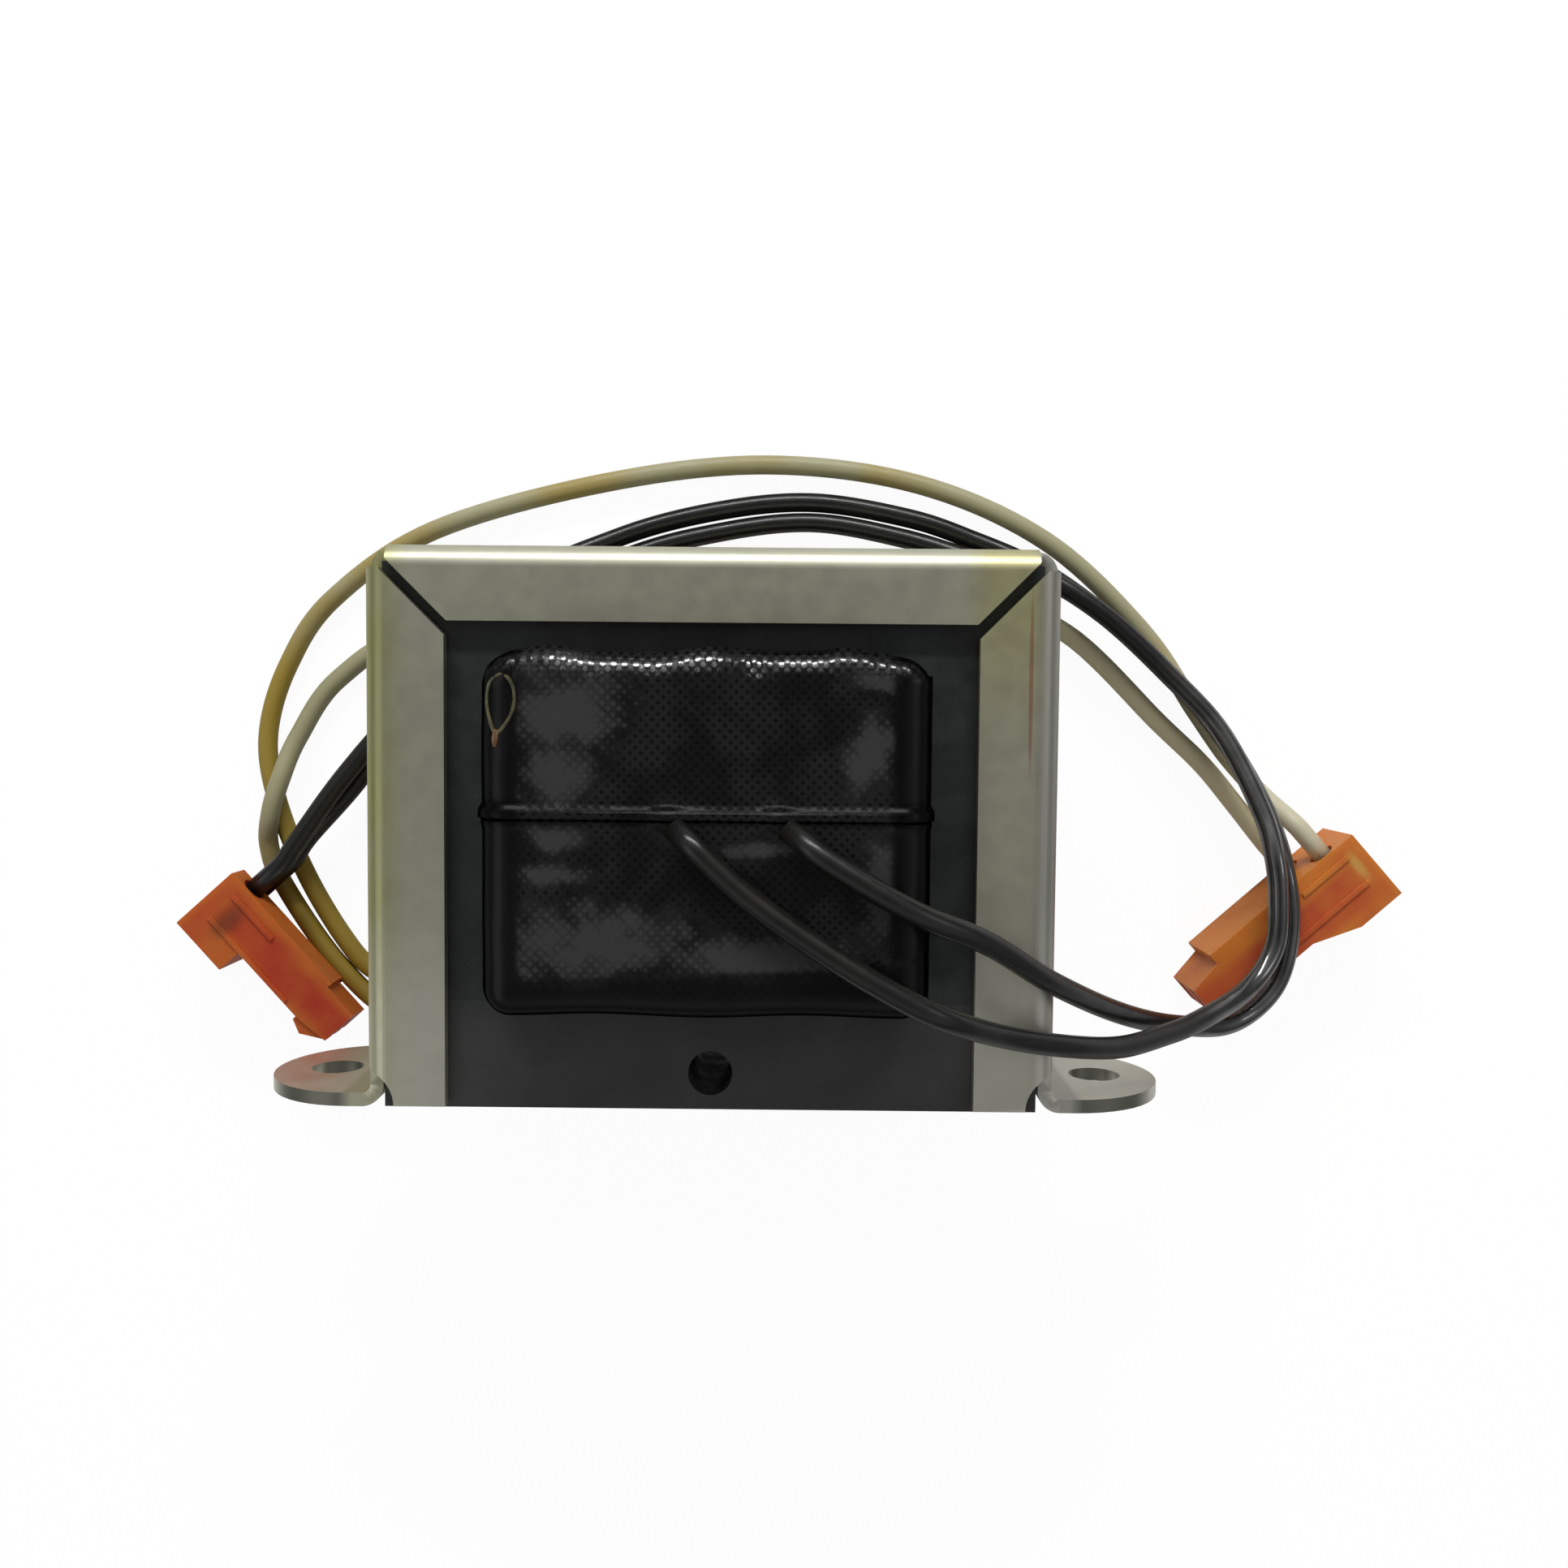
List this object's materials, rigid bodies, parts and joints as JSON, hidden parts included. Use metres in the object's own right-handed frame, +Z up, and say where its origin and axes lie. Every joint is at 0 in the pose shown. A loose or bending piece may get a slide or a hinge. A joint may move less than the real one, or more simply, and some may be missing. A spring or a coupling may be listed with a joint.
{
  "type": "open-frame transformer",
  "caption": "Open laminated-core mains transformer in a folded steel channel frame with mounting feet, a cloth-wrapped coil, and flying leads that end in a plug and a socket.",
  "frame": {"origin": "middle of the frame in plan, on the table under the rear face of the coil", "axes": "+X from foot to foot, +Y from the feet up to the roof of the frame, +Z up, out of the front face of the coil"},
  "size_m": [0.1251, 0.062, 0.0414],
  "materials": {
    "zinc_steel": "satin zinc plate with a faint yellow cast",
    "core_steel": "dark grey-green core paint, satin",
    "bobbin_plastic": "moulded",
    "copper_wire": "enamelled copper",
    "varnished_cloth": "glossy black varnish",
    "black_pvc": "glossy",
    "cream_pvc": "satin",
    "orange_nylon": "translucent moulded nylon",
    "contact_metal": "tin plated"
  },
  "bodies": {
    "root": {"channel_frame": "zinc_steel", "e_laminations": "core_steel", "i_laminations": "core_steel", "bobbin": "bobbin_plastic", "upper_winding": "copper_wire", "lower_winding": "copper_wire", "upper_wrap": "varnished_cloth", "lower_wrap": "varnished_cloth", "black_lead_a": "black_pvc", "black_lead_b": "black_pvc", "cream_lead_a": "cream_pvc", "cream_lead_b": "cream_pvc", "plug_housing": "orange_nylon", "socket_housing": "orange_nylon", "plug_upper_contact": "contact_metal", "plug_lower_contact": "contact_metal", "socket_upper_contact": "contact_metal", "socket_lower_contact": "contact_metal"}
  },
  "joints": []
}
